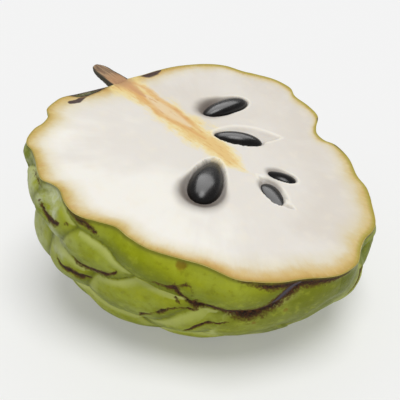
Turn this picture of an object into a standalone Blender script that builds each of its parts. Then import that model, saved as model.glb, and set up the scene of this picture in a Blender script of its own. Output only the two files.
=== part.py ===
"""Half a custard apple, cut lengthwise through its stalk and core.

The half lies on its rounded green back, with the cut face up and leaning a little. It rests on a
small flat spot. The flesh and the skin grew as one piece, so they are one solid, with a pocket for
each seed and a socket for the stalk. The five seeds and the half stalk are pieces of their own.

Units are metres, +Z is up, and the origin is under the middle of the half, on the surface that it
rests on. The shapes are worked out in the frame of the cut face: u runs along the core from the
stalk to the tip, v runs across the core, and w points out of the flesh.
"""
import math

import bmesh
import bpy
import numpy as np
from mathutils import Matrix, Vector

MM = 0.001

# The pose of the cut face: its middle, its lean, and the way that the core runs.
FACE_MIDDLE = (7.3 * MM, -5.8 * MM, 45.2 * MM)
FACE_LEAN = math.radians(14.0)
LEAN_HEADING = math.radians(-37.0)
CORE_HEADING = math.radians(-41.0)

# The edge of the cut face, in mm along and across the core. Each bump is a scale cut through.
CUT_EDGE = [
    (-48.5, -2.5), (-50.0, -13.5), (-51.0, -19.0), (-50.5, -22.5), (-48.5, -27.5), (-45.5, -29.5),
    (-43.5, -33.0), (-42.5, -37.0), (-40.0, -41.5), (-37.5, -43.5), (-35.0, -44.0), (-31.0, -46.0),
    (-27.0, -48.5), (-23.5, -50.0), (-20.5, -49.0), (-17.5, -49.0), (-13.5, -51.0), (-9.5, -52.0),
    (-6.5, -51.5), (-3.0, -49.5), (1.5, -47.0), (6.0, -47.0), (12.0, -46.0), (18.5, -42.5),
    (24.5, -39.0), (32.0, -36.5), (36.0, -33.0), (40.0, -28.0), (43.0, -22.0), (47.0, -15.5),
    (48.5, -11.0), (48.5, -5.0), (46.0, 0.5), (44.5, 5.0), (44.0, 10.0), (42.5, 14.0),
    (38.5, 19.0), (32.5, 25.5), (27.0, 28.5), (20.5, 34.0), (14.0, 36.5), (10.0, 35.5),
    (6.5, 36.5), (4.0, 39.5), (0.5, 45.5), (-5.0, 48.0), (-11.5, 49.0), (-16.0, 52.0),
    (-22.5, 51.5), (-28.5, 48.0), (-32.0, 45.5), (-38.0, 42.5), (-42.5, 36.5), (-46.0, 27.5),
    (-47.5, 19.5), (-48.0, 12.5), (-48.5, 8.5), (-49.0, 3.0),
]

# The rounded back: how deep it is, how full its side is, and where it bulges, in mm.
BACK_DEPTH = 48.5
BACK_FULLNESS = 2.45
DEEPEST_SHIFT = -6.0
SIDE_BULGE = (2.0, 8.5, 6.0, -5.5, 2.5)
FLOOR_BULGE = (-5.5, -2.0)
EDGE_BUMP_REACH = 0.12
EDGE_HARMONICS = 4

# The scales of the skin. Latitude runs from the stalk (-90) to the tip (90) and longitude from
# the near edge of the cut (0) under the fruit to its far edge (180), in degrees. Length runs
# towards the tip and width across, in mm.
NEAR_SCALES = [
    (-35.0, 5.0, 20.0, 13.0), (-22.0, 10.0, 22.0, 13.0), (-25.0, 31.0, 22.0, 14.0),
    (-12.0, 22.0, 24.0, 12.0), (-3.0, 12.0, 24.0, 13.0), (13.0, 2.0, 30.0, 15.0),
    (0.0, 40.0, 24.0, 14.0), (11.0, 25.0, 26.0, 14.0), (26.0, 34.0, 22.0, 13.0),
    (42.0, 9.0, 30.0, 18.0), (38.0, 25.0, 13.0, 9.0), (54.0, 42.0, 26.0, 18.0),
    (70.0, 28.0, 24.0, 20.0),
]
HIDDEN_SCALE_SIZE = (22.0, 17.0)
SCALE_SPACING = 15.5
SCALE_LATITUDE_STEP = 15.0
SCALE_CENTRE = np.array((-3.0, 0.0, -8.0))
SCALE_HEIGHT = 2.2
SCALE_ROUNDNESS = 2.4
SCALE_RISE = 0.6
SCALE_SINK = 1.0
RELIEF_EDGE_FADE = 0.07

# The flat resting spot.
REST_MIDDLE = (3.0, -2.0)
REST_RELIEF_START = 15.0
REST_RELIEF_END = 27.0

# Rings of the skin mesh from its deepest point to the cut edge.
SKIN_RINGS = 24

# Seeds: name, middle (u, v, w), turn in the face, roll about the length, taper, length, width
# and thickness. The sharp end points along the turn. In mm and degrees. Each seed is whole, and
# the flesh covers all but the stretch that the knife bared.
SEEDS = [
    ("seed_large", (1.7, -11.6, -2.0), 118.0, 0.0, 0.24, 20.5, 9.5, 7.4),
    ("seed_upper", (-21.0, 22.6, -2.4), 264.0, 45.0, 0.12, 19.0, 10.0, 7.0),
    ("seed_core", (-7.0, 12.3, -2.6), 222.0, 50.0, 0.08, 16.5, 9.5, 7.0),
    ("seed_small", (12.6, 8.7, -4.2), 202.0, 60.0, 0.20, 14.0, 10.0, 6.8),
    ("seed_tip", (18.0, -0.6, -3.3), 154.0, 20.0, -0.16, 15.0, 8.5, 6.5),
]
SEED_SIDES = 20
SEED_RINGS = 12
SEED_BLUNTNESS = 0.86
GAP = 0.3

# The half stalk: stations along its length, its half width at each, and its place, in mm.
STALK_ACROSS = 2.4
STALK_STATIONS = [(-46.0, 3.2), (-48.0, 3.5), (-50.0, 3.5), (-53.0, 3.1), (-57.0, 2.7), (-58.8, 2.3),
                  (-59.7, 1.7), (-60.2, 1.0)]
STALK_SIDES = 12
SOCKET_LIFT = 3.0

RIND_GREEN = (0.225, 0.266, 0.022, 1.0)
SEED_BLACK = (0.012, 0.010, 0.009, 1.0)
STALK_BROWN = (0.262, 0.164, 0.092, 1.0)


def clear_scene():
    """Start with no objects."""
    for old in list(bpy.data.objects):
        bpy.data.objects.remove(old, do_unlink=True)


def make_material(name, colour, roughness):
    """A plain Principled material."""
    material = bpy.data.materials.new(name)
    material.use_nodes = True
    shader = material.node_tree.nodes["Principled BSDF"]
    shader.inputs["Base Color"].default_value = colour
    shader.inputs["Roughness"].default_value = roughness
    shader.inputs["Metallic"].default_value = 0.0
    return material


def face_frame():
    """The matrix from the cut face's frame to the world."""
    out = Vector((math.sin(FACE_LEAN) * math.cos(LEAN_HEADING),
                  math.sin(FACE_LEAN) * math.sin(LEAN_HEADING), math.cos(FACE_LEAN)))
    along = Vector((math.cos(CORE_HEADING), math.sin(CORE_HEADING), 0.0))
    along.z = -along.dot(out) / out.z
    along.normalize()
    across = out.cross(along)
    turn = Matrix((along, across, out)).transposed().to_4x4()
    return Matrix.Translation(FACE_MIDDLE) @ turn


def smooth_step(value, low, high):
    """0 below low, 1 above high, and smooth between."""
    step = np.clip((value - low) / (high - low), 0.0, 1.0)
    return step * step * (3.0 - 2.0 * step)


def closed_curve(points, steps):
    """A closed Catmull-Rom curve through the points."""
    now = np.array(points)
    before, after, later = (np.roll(now, shift, axis=0) for shift in (1, -1, -2))
    rows = []
    for t in np.linspace(0.0, 1.0, steps, endpoint=False):
        rows.append(0.5 * (2.0 * now + (after - before) * t
                           + (2.0 * before - 5.0 * now + 4.0 * after - later) * t * t
                           + (3.0 * now - before - 3.0 * after + later) * t ** 3))
    return np.stack(rows, axis=1).reshape(-1, 2)


class CutEdge:
    """The radius of the cut face round its middle, with its bumps and without them."""

    def __init__(self):
        curve = closed_curve(CUT_EDGE, 12)
        angle = np.arctan2(curve[:, 1], curve[:, 0])
        order = np.argsort(angle)
        self.angle = angle[order]
        self.reach = np.hypot(curve[:, 0], curve[:, 1])[order]
        even = np.linspace(-math.pi, math.pi, 720, endpoint=False)
        wave = np.fft.rfft(self.radius(even))
        wave[EDGE_HARMONICS + 1:] = 0.0
        self.even = even
        self.even_reach = np.fft.irfft(wave, len(even))

    def radius(self, angle):
        """The real edge."""
        return np.interp(angle, self.angle, self.reach, period=2.0 * math.pi)

    def calm_radius(self, angle):
        """The edge without its bumps."""
        return np.interp(angle, self.even, self.even_reach, period=2.0 * math.pi)


EDGE = CutEdge()


def back_point(angle, depth):
    """A point of the smooth back, in mm: depth is 0 at the cut edge and 1 at the deepest point."""
    quarter = depth * math.pi / 2.0
    inward = np.cos(quarter) ** (2.0 / BACK_FULLNESS)
    down = np.sin(quarter) ** (2.0 / BACK_FULLNESS)
    calm = EDGE.calm_radius(angle)
    edge = calm + (EDGE.radius(angle) - calm) * np.exp(-(depth / EDGE_BUMP_REACH) ** 2)
    belly = np.sin(math.pi * depth)
    flat, ahead, aside, ahead_twice, aside_twice = SIDE_BULGE
    bulge = (flat + ahead * np.cos(angle) + aside * np.sin(angle)
             + ahead_twice * np.cos(2.0 * angle) + aside_twice * np.sin(2.0 * angle))
    radius = edge * inward + bulge * belly
    floor_bulge = FLOOR_BULGE[0] * np.cos(angle) + FLOOR_BULGE[1] * np.sin(angle)
    return np.stack([radius * np.cos(angle) + DEEPEST_SHIFT * down,
                     radius * np.sin(angle),
                     -BACK_DEPTH * down - floor_bulge * belly], axis=-1)


def unit(rows):
    """Rows scaled to length 1."""
    return rows / np.linalg.norm(rows, axis=-1, keepdims=True)


class Scales:
    """The scales of the skin, each with its middle, its own axes and its size."""

    def __init__(self):
        angle, depth = np.meshgrid(np.linspace(-math.pi, math.pi, 361), np.linspace(0.0, 0.98, 80))
        self.grid = back_point(angle, depth).reshape(-1, 3)
        u, v, w = self.grid.T
        self.latitude = np.degrees(np.arctan2(u, np.hypot(v, w)))
        self.longitude = np.degrees(np.arctan2(-w, -v))
        self.places = [(self.middle(lat, lon), length, width)
                       for lat, lon, length, width in NEAR_SCALES]
        self.add_hidden()
        self.middles = np.array([place for place, _, _ in self.places])
        self.half = np.array([(length, width) for _, length, width in self.places]) / 2.0
        self.out = unit(self.middles - SCALE_CENTRE)
        tipward = np.array((1.0, 0.0, 0.0)) - self.out[:, :1] * self.out
        self.tipward = unit(tipward)
        self.aside = np.cross(self.out, self.tipward)

    def middle(self, latitude, longitude):
        """The point of the smooth back at a latitude and a longitude."""
        stretch = np.cos(np.radians(latitude))
        miss = np.hypot(self.latitude - latitude, (self.longitude - longitude) * stretch)
        return self.grid[miss.argmin()]

    def add_hidden(self):
        """Fill the rest of the back with even rows, each half a scale on from the last."""
        rows = np.arange(-80.0, 81.0, SCALE_LATITUDE_STEP)
        for number, latitude in enumerate(rows):
            ring = max(1, round(7.0 * math.cos(math.radians(latitude)) + 0.3))
            for place in range(ring + 1):
                longitude = 180.0 * (place + 0.5 * (number % 2)) / ring
                if longitude > 180.0:
                    continue
                middle = self.middle(latitude, longitude)
                gaps = [np.linalg.norm(middle - other) for other, _, _ in self.places]
                if min(gaps) > 0.8 * SCALE_SPACING:
                    self.places.append((middle, *HIDDEN_SCALE_SIZE))

    def relief(self, points):
        """How far the scales stand proud of the smooth back, in mm."""
        best = np.full(len(points), -SCALE_SINK)
        for middle, half, tipward, aside in zip(self.middles, self.half, self.tipward, self.aside):
            away = points - middle
            ahead = away @ tipward / half[0]
            beside = away @ aside / half[1]
            off = np.linalg.norm(away, axis=-1)
            edge = np.hypot(ahead, beside)
            height = SCALE_HEIGHT * (1.0 - edge ** SCALE_ROUNDNESS) + SCALE_RISE * ahead
            height[off > 1.2 * half.max()] = -SCALE_SINK
            best = np.maximum(best, height)
        return best - SCALE_SINK


def skin_points():
    """The rings of the skin from its deepest point to the cut edge, in the face's frame."""
    angle, depth = [0.0], [1.0]
    for ring in range(1, SKIN_RINGS + 1):
        count = 6 * ring
        angle.extend(2.0 * math.pi * np.arange(count) / count)
        depth.extend([1.0 - ring / SKIN_RINGS] * count)
    angle, depth = np.array(angle), np.array(depth)
    smooth = back_point(angle, depth)
    world = np.array([face_frame() @ Vector(row) for row in smooth * MM]) / MM
    off_rest = np.hypot(world[:, 0] - REST_MIDDLE[0], world[:, 1] - REST_MIDDLE[1])
    under = world[:, 2] < FACE_MIDDLE[2] / MM / 2.0
    calm = np.where(under, smooth_step(off_rest, REST_RELIEF_START, REST_RELIEF_END), 1.0)
    fade = smooth_step(depth, 0.0, RELIEF_EDGE_FADE) * calm
    outward = unit(smooth - SCALE_CENTRE)
    return smooth + outward * (Scales().relief(smooth) * fade)[:, None]


def ring_start(ring):
    """The number of vertices inside a ring."""
    return 0 if ring == 0 else 1 + 3 * ring * (ring - 1)


def disk_faces(rings):
    """Triangles that join the rings of a six-sided disk, outer ring last."""
    faces = []
    for ring in range(1, rings + 1):
        inner, outer = ring_start(ring - 1), ring_start(ring)
        inner_count, outer_count = max(1, 6 * (ring - 1)), 6 * ring
        for side in range(6):
            for step in range(ring):
                a = outer + side * ring + step
                b = outer + (side * ring + step + 1) % outer_count
                c = inner + (side * (ring - 1) + step) % inner_count
                faces.append((a, b, c))
                if step < ring - 1:
                    d = inner + (side * (ring - 1) + step + 1) % inner_count
                    faces.append((b, d, c))
    return faces


def add_object(name, vertices, faces, material):
    """A smooth-shaded mesh object whose normals point out."""
    mesh = bpy.data.meshes.new(name)
    mesh.from_pydata([tuple(row) for row in vertices], [], faces)
    shape = bmesh.new()
    shape.from_mesh(mesh)
    bmesh.ops.recalc_face_normals(shape, faces=shape.faces)
    shape.to_mesh(mesh)
    shape.free()
    mesh.shade_smooth()
    mesh.set_sharp_from_angle(angle=math.radians(40.0))
    mesh.materials.append(material)
    part = bpy.data.objects.new(name, mesh)
    bpy.context.scene.collection.objects.link(part)
    return part


def add_half(material):
    """The skin and the flesh, closed by the flat cut face, with a flat spot underneath."""
    frame = face_frame()
    world = [frame @ Vector(row * MM) for row in skin_points()]
    for point in world:
        point.z = max(point.z, 0.0)
    edge = range(ring_start(SKIN_RINGS), ring_start(SKIN_RINGS + 1))
    return add_object("fruit_half", world, disk_faces(SKIN_RINGS) + [tuple(edge)], material)


def seed_points(length, width, thickness, taper):
    """A flattened drop along x, round at -x and more pointed at +x."""
    points = [(-length / 2.0, 0.0, 0.0)]
    for ring in range(1, SEED_RINGS):
        around = math.pi * ring / SEED_RINGS
        x = -math.cos(around)
        girth = math.sin(around) ** SEED_BLUNTNESS * (1.0 - taper * (x + 0.5 * x * x))
        for side in range(SEED_SIDES):
            turn = 2.0 * math.pi * side / SEED_SIDES
            points.append((x * length / 2.0, girth * width / 2.0 * math.cos(turn),
                           girth * thickness / 2.0 * math.sin(turn)))
    points.append((length / 2.0, 0.0, 0.0))
    return points


def tube_faces(sides, rings):
    """Faces of a closed tube whose first and last points are its poles."""
    faces = []
    last = 1 + sides * (rings - 1)
    for side in range(sides):
        after = (side + 1) % sides
        faces.append((0, 1 + after, 1 + side))
        faces.append((last, last - sides + side, last - sides + after))
        for ring in range(rings - 2):
            row = 1 + ring * sides
            faces.append((row + side, row + after, row + sides + after, row + sides + side))
    return faces


def add_seed(name, place, turn, roll, taper, size, grow, material):
    """One seed, or the cutter for its pocket when it is grown by the gap."""
    points = seed_points(*(side + 2.0 * grow for side in size), taper)
    drop = Matrix.Translation(Vector(place) * MM) @ Matrix.Rotation(math.radians(turn), 4, "Z")
    pose = face_frame() @ drop @ Matrix.Rotation(math.radians(roll), 4, "X")
    vertices = [Vector(point) * MM for point in points]
    part = add_object(name, vertices, tube_faces(SEED_SIDES, SEED_RINGS), material)
    part.matrix_world = pose
    return part


def add_stalk(name, grow, material):
    """The half stalk, flat side up, or the cutter for its socket when it is grown by the gap."""
    frame = face_frame()
    row = STALK_SIDES + 1
    vertices = []
    for u, half_width in STALK_STATIONS:
        radius = half_width + grow
        along = u + grow if u == STALK_STATIONS[0][0] else u
        for side in range(row):
            turn = math.pi * (1.0 + side / STALK_SIDES)
            lift = SOCKET_LIFT if grow and side in (0, STALK_SIDES) else 0.0
            point = (along, STALK_ACROSS + radius * math.cos(turn), radius * math.sin(turn) + lift)
            vertices.append(frame @ (Vector(point) * MM))
    faces = [tuple(range(row)), tuple(range(len(vertices) - row, len(vertices)))]
    for station in range(len(STALK_STATIONS) - 1):
        for side in range(row):
            a = station * row + side
            b = station * row + (side + 1) % row
            faces.append((a, b, b + row, a + row))
    return add_object(name, vertices, faces, material)


def cut(part, cutter):
    """Take the cutter's shape out of the part."""
    cutter.hide_render = True
    cutter.display_type = "WIRE"
    boolean = part.modifiers.new("cut_" + cutter.name, "BOOLEAN")
    boolean.operation = "DIFFERENCE"
    boolean.object = cutter


def main():
    """Build the half, its seeds and its stalk."""
    clear_scene()
    rind = make_material("rind_green", RIND_GREEN, 0.42)
    black = make_material("seed_black", SEED_BLACK, 0.22)
    brown = make_material("stalk_brown", STALK_BROWN, 0.7)
    half = add_half(rind)
    for name, place, turn, roll, taper, *size in SEEDS:
        add_seed(name, place, turn, roll, taper, size, 0.0, black)
        cut(half, add_seed("pocket_" + name, place, turn, roll, taper, size, GAP, rind))
    add_stalk("stalk", 0.0, brown)
    cut(half, add_stalk("socket_stalk", GAP, rind))


main()
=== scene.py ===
"""The looks of half a custard apple: its scaly green skin, cream cut face, seeds and stalk.

The shapes are worked out in the frame of the cut face, in mm: u runs along the core from the stalk
to the tip, v runs across the core, and w points out of the flesh.
"""
from math import cos, pi, radians, sin

import bpy
import numpy as np
from mathutils import Matrix, Vector


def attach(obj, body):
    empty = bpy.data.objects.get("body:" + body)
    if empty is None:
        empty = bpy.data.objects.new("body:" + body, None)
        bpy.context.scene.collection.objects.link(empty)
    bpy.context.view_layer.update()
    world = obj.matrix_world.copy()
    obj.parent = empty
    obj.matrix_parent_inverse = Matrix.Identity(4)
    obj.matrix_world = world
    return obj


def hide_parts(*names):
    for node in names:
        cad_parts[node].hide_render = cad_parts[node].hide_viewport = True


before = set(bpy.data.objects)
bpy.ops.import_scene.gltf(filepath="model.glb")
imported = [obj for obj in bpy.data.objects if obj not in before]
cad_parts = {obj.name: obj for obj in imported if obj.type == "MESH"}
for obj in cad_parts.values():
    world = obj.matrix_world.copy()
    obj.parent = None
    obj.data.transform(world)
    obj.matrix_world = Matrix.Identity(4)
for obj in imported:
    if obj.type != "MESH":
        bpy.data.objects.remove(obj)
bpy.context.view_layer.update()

MM = 0.001

# The pose of the cut face: its middle, its lean, and the way that the core runs.
FACE_MIDDLE = (7.3 * MM, -5.8 * MM, 45.2 * MM)
FACE_LEAN = radians(14.0)
LEAN_HEADING = radians(-37.0)
CORE_HEADING = radians(-41.0)

# The edge of the cut face, in mm along and across the core. Each bump is a scale cut through.
CUT_EDGE = [
    (-48.5, -2.5), (-50, -13.5), (-51, -19), (-50.5, -22.5), (-48.5, -27.5), (-45.5, -29.5),
    (-43.5, -33), (-42.5, -37), (-40, -41.5), (-37.5, -43.5), (-35, -44), (-31, -46), (-27, -48.5),
    (-23.5, -50), (-20.5, -49), (-17.5, -49), (-13.5, -51), (-9.5, -52), (-6.5, -51.5), (-3, -49.5),
    (1.5, -47), (6, -47), (12, -46), (18.5, -42.5), (24.5, -39), (32, -36.5), (36, -33), (40, -28),
    (43, -22), (47, -15.5), (48.5, -11), (48.5, -5), (46, 0.5), (44.5, 5), (44, 10), (42.5, 14),
    (38.5, 19), (32.5, 25.5), (27, 28.5), (20.5, 34), (14, 36.5), (10, 35.5), (6.5, 36.5),
    (4, 39.5), (0.5, 45.5), (-5, 48), (-11.5, 49), (-16, 52), (-22.5, 51.5), (-28.5, 48),
    (-32, 45.5), (-38, 42.5), (-42.5, 36.5), (-46, 27.5), (-47.5, 19.5), (-48, 12.5), (-48.5, 8.5),
    (-49, 3),
]

# The rounded back: how deep it is, how full its side is, and where it bulges, in mm.
BACK_DEPTH = 48.5
BACK_FULLNESS = 2.45
DEEPEST_SHIFT = -6.0
SIDE_BULGE = (2.0, 8.5, 6.0, -5.5, 2.5)
FLOOR_BULGE = (-5.5, -2.0)
EDGE_BUMP_REACH = 0.12
EDGE_HARMONICS = 4
EDGE_STEPS = 24

# The middle of the flat resting spot, and where the scales start and end rising round it, in mm.
REST_MIDDLE = (3.0, -2.0)
REST_RELIEF = (15.0, 27.0)

# The scales of the near side. Latitude runs from the stalk (-90) to the tip (90) and longitude
# from the near edge of the cut (0) under the fruit to its far edge (180), in degrees. Then come
# the length and width in mm, the turn of the length from the tip towards the underside, the
# heading of the free edge measured the same way, and how far that edge lifts.
NEAR_SCALES = [
    (-34, 8, 19, 12, -16, 75, 1.2),
    (-18.5, 6, 19, 12, -14, 100, 1.7),
    (-14, 24, 22, 15, -50, 60, 1.3),
    (-31, 29, 22, 14, -30, 75, 1),
    (-2, 10.5, 21.5, 14, -14, 90, 1.4),
    (10, 3.2, 39, 11.8, 14, 95, 1.1),
    (12, 22.5, 34, 15, -18, 80, 1.3),
    (-3, 38, 30, 15, 12, 80, 1),
    (27.5, 28, 24, 14.5, -38, 75, 0.9),
    (43, 7, 29, 14, -9, 90, 0.9),
    (43, 34, 24, 20, -20, 75, 0.8),
    (22, 52, 26, 16, 0, 75, 0.9),
    (63, 28, 26, 20, 30, 75, 0.7),
    (74, 95, 24, 18, 0, 60, 0.7),
]
# The even scales of the rest: length, width, turn, heading and lift; how many go half way round
# the middle of the back, how far apart the rows are in degrees, and the least gap in mm.
HIDDEN_SCALE = (22.0, 17.0, 0.0, 20.0, 1.2)
HIDDEN_ROUND = 7.0
HIDDEN_ROW_STEP = 15.0
HIDDEN_GAP = 12.4

# The shape of every scale and of the seams between them, in mm.
SCALE_CENTRE = np.array((-3.0, 0.0, -8.0))
SCALE_HEIGHT = 1.5
SCALE_ROUNDNESS = 2.0
SCALE_SINK = 0.3
SCALE_CORNERS = 1.7
SCALE_REACH = 12.0
FREE_LIMIT = 1.2
FREE_JUMP = 1.4
SEAM_SLOPE = 0.9
SEAM_SOFTNESS = 0.22
LIP = 0.28
LIP_REACH = 1.4
GROOVE_DEPTH = 0.2
GROOVE_WIDTH = 0.5
RELIEF_EDGE_FADE = 0.03
BULGE_EDGE_FADE = 0.08
CRACK_DEPTH = 0.35
CRACK_WALL = (0.3, 0.9)

# Noises that shift or lift a surface: the size of their bumps and their height in mm, and the
# number that their pattern starts from.
SCALE_DRIFT = ((9.0, 0.6, 1), (2.6, 0.12, 4))
CRACK_DRIFT = ((3.0, 0.6, 21), (0.9, 0.26, 25))
SKIN_BUMPS = ((3.1, 0.10, 11), (1.2, 0.04, 12))
FACE_BUMPS = ((15.0, 0.16, 31), (4.5, 0.05, 32))
HOLLOW_BUMPS = ((2.2, 0.12, 33),)
SEED_BUMPS = ((3.5, 0.05, 41),)
BARK_RIDGES = ((0.9, 0.14, 51),)
BARK_BUMPS = ((0.7, 0.07, 52),)
WOOD_BUMPS = ((0.7, 0.10, 53),)

# Broad swellings of the back: latitude, longitude, reach and height in mm.
BULGES = [
    (-21, 33, 22, 1.1), (6, 46, 26, 1.1), (30, 50, 26, 1.1), (52, 54, 20, 0.2), (-34, 5, 8, 0.6),
    (-45, 4, 9, -1.2), (-28, 25, 9, -0.9), (-10, 36, 12, -1.2), (77, 160, 10, -4.6),
    (66, 146, 10, -1.2), (74, 116, 12, 0.6), (67, 66, 9, -1.4),
]

# Cracks and russet bands on the skin: how strong each is, then its route as latitude, longitude
# and half width in mm.
CRACKS = [
    (1, [(14, 12.8, 0.1), (18.4, 12.2, 0.4), (22, 13, 0.5), (24.7, 12.3, 0.9), (26.3, 14.8, 0.55),
        (28.4, 17.6, 0.6), (31.2, 19.6, 0.9), (35.6, 18.6, 0.8), (39, 18.8, 1), (43, 20.6, 1.5),
        (46.4, 23, 2.3), (49.9, 22.2, 2.1), (54.4, 17.6, 1.5), (57.2, 13.4, 1.4), (59.3, 9.6, 1.7),
        (61.8, 5.3, 1.8), (63.5, 3, 1.2)]),
    (1, [(40.5, 0, 0.2), (45.7, 0.6, 0.7), (51.7, 1.2, 1), (56.7, 2.5, 1.4), (62, 4.5, 1.8),
        (68.2, 3.6, 1.5), (75, 4, 1), (80, 8, 0.3)]),
    (1, [(8.7, 36.6, 0.15), (14.5, 30.2, 0.4), (19.5, 26.3, 0.45), (22.8, 23.9, 0.4),
        (26.3, 22.3, 0.35), (31.5, 21.2, 0.3)]),
    (1, [(26.4, 35.4, 0.3), (30.7, 31, 0.4), (34.7, 27.8, 0.45), (38.2, 27.7, 0.3),
        (42, 26.8, 0.15)]),
    (1, [(73, 126, 0.2), (76.5, 113, 0.8), (74.5, 103, 1), (72.5, 95, 0.8), (69.5, 88, 0.2)]),
    (0.8, [(24.7, 8.7, 0.2), (25, 12.3, 0.35), (27.4, 10.7, 0.3), (29.7, 9.8, 0.15)]),
    (0.7, [(28, 9, 0.15), (29.3, 10.3, 0.25), (30, 12.9, 0.25), (29.2, 15.5, 0.1)]),
    (0.8, [(28.1, 17.7, 0.3), (30.2, 16.3, 0.4), (32.2, 14.4, 0.15)]),
    (0.8, [(24.6, 17.6, 0.2), (25.6, 19.3, 0.6), (27, 20.9, 0.2)]),
    (1, [(-11.5, 0, 0.6), (-8.7, 0.4, 1.3), (-7, 1.3, 1.3), (-5.6, 2.6, 1), (-2.9, 3.8, 0.5),
        (-1, 5, 0.15)]),
    (1, [(-25, 8, 0.15), (-22, 10.7, 0.7), (-19.5, 11, 1), (-16.9, 9.9, 0.9), (-14.1, 8.4, 0.4),
        (-13, 7.6, 0.15)]),
    (0.8, [(-13.2, 7.6, 0.2), (-11.9, 6.8, 0.6), (-10.9, 6.2, 0.2)]),
    (1, [(-10.5, 17.6, 0.15), (-7.5, 19.5, 1), (-4, 19.9, 1.2), (0.5, 18.6, 0.8), (7, 14.6, 0.1)]),
    (1, [(-16, 24, 0.1), (-12.8, 24.9, 0.7), (-10, 25.6, 1), (-7, 25.6, 0.8), (-3, 24.4, 0.1)]),
    (0.9, [(-37, 4.7, 0.1), (-31.4, 3.3, 0.6), (-27, 2.2, 0.7), (-24, 3.4, 0.15)]),
    (0.6, [(42, 29.2, 0.1), (45.5, 30.5, 0.3), (49, 30.5, 0.1)]),
]

# A painted grey highlight along a fold inside the widest crack: latitude, longitude and half
# width in mm.
FOLD_HIGHLIGHT = [(52, 19.6, 0.15), (55.5, 15.8, 0.5), (58.8, 10.4, 0.75), (61.5, 5, 0.7), (62.6, 2.2, 0.3)]

# Soft round patches of the skin, each with its latitude, longitude, reach in mm and strength:
# where neighbouring scales have grown together, dark stains in the seams, pale waxy bloom with
# painted highlights, darker patches of painted shade low on the near side, and brown spots.
MERGED = [
    (28, 5, 9, 1), (80, 30, 11, 1), (73, 62, 11, 1), (56, 42, 10, 1), (41, 32, 6, 0.9),
    (70, 105, 11, 1), (68, 135, 11, 1),
]
MERGE_SOFTNESS = 1.1
MERGE_GAP = 2.5
STAINS = [(4, 44, 9, 0.5), (12, 40, 6, 0.4)]
BLOOMS_AND_GLINTS = [
    (-34, 6, 9, 0.8), (-22, 4, 7.5, 1), (-17, 18, 8, 0.8), (-10, 13, 6, 0.6), (-28, 26, 9, 0.7),
    (-3, 10, 7, 0.5), (5, 18, 9, 0.55), (13, 24, 8, 0.5), (30, 29, 8, 0.4), (38, 8, 9, 0.3),
    (35, 23, 5, 0.5), (52, 30, 8, 0.3),
]
# Darker patches low on the near side are painted shade.
LOW_PAINTED_SHADES = [(60, 30, 16, 0.7), (45, 32, 12, 0.5), (76, 25, 13, 0.7), (52, 50, 14, 0.6)]
SPOTS = [(25, 2.6, 1.6, 1), (58, 25, 0.8, 0.8), (48, 31, 0.8, 0.8)]
PATCH_FADE = (0.5, 1.3)

# Random stains, and bloom with painted highlights, which set in over this run of v: the size of
# each in mm and the number that its pattern starts from, then their strength and the noise that
# they show above.
RANDOM_START = (-12.0, -2.0)
RANDOM_STAINS = (13.0, 24)
RANDOM_BLOOMS_AND_GLINTS = (10.0, 28)
RANDOM_STRENGTH = 0.6
RANDOM_FADE = (0.0, 0.6)

# Rings of the skin and of the cut face, from their middle to the cut edge.
RINGS = 126

# Seeds: name, middle (u, v, w), turn in the face, roll about the length, taper, length, width
# and thickness. The sharp end points along the turn. In mm and degrees.
SEEDS = [
    ("seed_large", (1.7, -11.6, -2), 118, 0, 0.24, 20.5, 9.5, 7.4),
    ("seed_upper", (-21, 22.6, -2.4), 264, 45, 0.12, 19, 10, 7),
    ("seed_core", (-7, 12.3, -2.6), 222, 50, 0.08, 16.5, 9.5, 7),
    ("seed_small", (12.6, 8.7, -4.2), 202, 60, 0.2, 14, 10, 6.8),
    ("seed_tip", (18, -0.6, -3.3), 154, 20, -0.16, 15, 8.5, 6.5),
]
SEED_SIDES = 72
SEED_RINGS = 60
SEED_BLUNTNESS = 0.86

# The hollow round each seed: its depth on the open side and on the close side, its width on both,
# the heading of the open side, and how dark its painted shade is. In mm and degrees.
HOLLOWS = [
    (1.6, 1.4, 4.1, 0.7, -67, 0.9),
    (1.4, 0.6, 3.1, 0.6, 234, 0.9),
    (0.9, 0.6, 1.2, 0.6, 60, 0.2),
    (0.8, 0.4, 1.4, 0.5, 200, 0.6),
    (0.9, 0.6, 1.6, 0.5, 150, 0.6),
]

# The walls, lips and painted shade of the hollows: distances in mm, and shares from 0 to 1. The
# painted shade fades between these shares of a hollow's width, and is deepest where the flesh
# touches the seed, as a painted contact shadow.
OUTLINE_STEPS = 90
WALL_START = 0.2
LIP_HEIGHT = 0.12
LIP_WIDTH = 0.8
OPEN_SIDE_FOCUS = 3
OPEN_LIP_LOSS = 0.85
HOLLOW_SHADE_FADE = (0.25, 1.8)
CONTACT_SHADE = 0.9
CONTACT_REACH = 0.6
LIP_FREE_DROP = 0.3

# Longer hollows with pointed ends: middle (u, v), turn, half length, half width, depth and
# painted shade.
CLEFTS = [
    ((-6, 15.6), 50, 11.4, 4.4, 1.3, 0.12),
    ((15.4, 1.2), 172, 6.6, 2.2, 0.8, 0.4),
    ((22.6, -1.8), 15, 2.6, 1.2, 0.5, 0.25),
]
CLEFT_WALL = (0.55, 1.0)
CLEFT_SHADE = (0.5, 1.0)
CLEFT_LIP = 0.8
CLEFT_LIP_PLACE = 1.05

# How far the flesh drops away under each seed, and over what distance, in mm.
SEED_DIVE = 2.4
SEED_DIVE_REACH = 0.8

# The tan edge of the flesh: how wide it is at each angle round the middle, in degrees and mm.
TAN_EDGE = [
    (-180, 7), (-160, 7.5), (-140, 5.6), (-100, 5.6), (-80, 4.6), (-60, 4.8), (-40, 7.5),
    (-20, 7.5), (0, 6.5), (40, 6.6), (60, 5.2), (80, 3.2), (100, 3.8), (125, 3.8), (145, 4.6),
    (160, 5.4), (180, 7),
]

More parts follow.
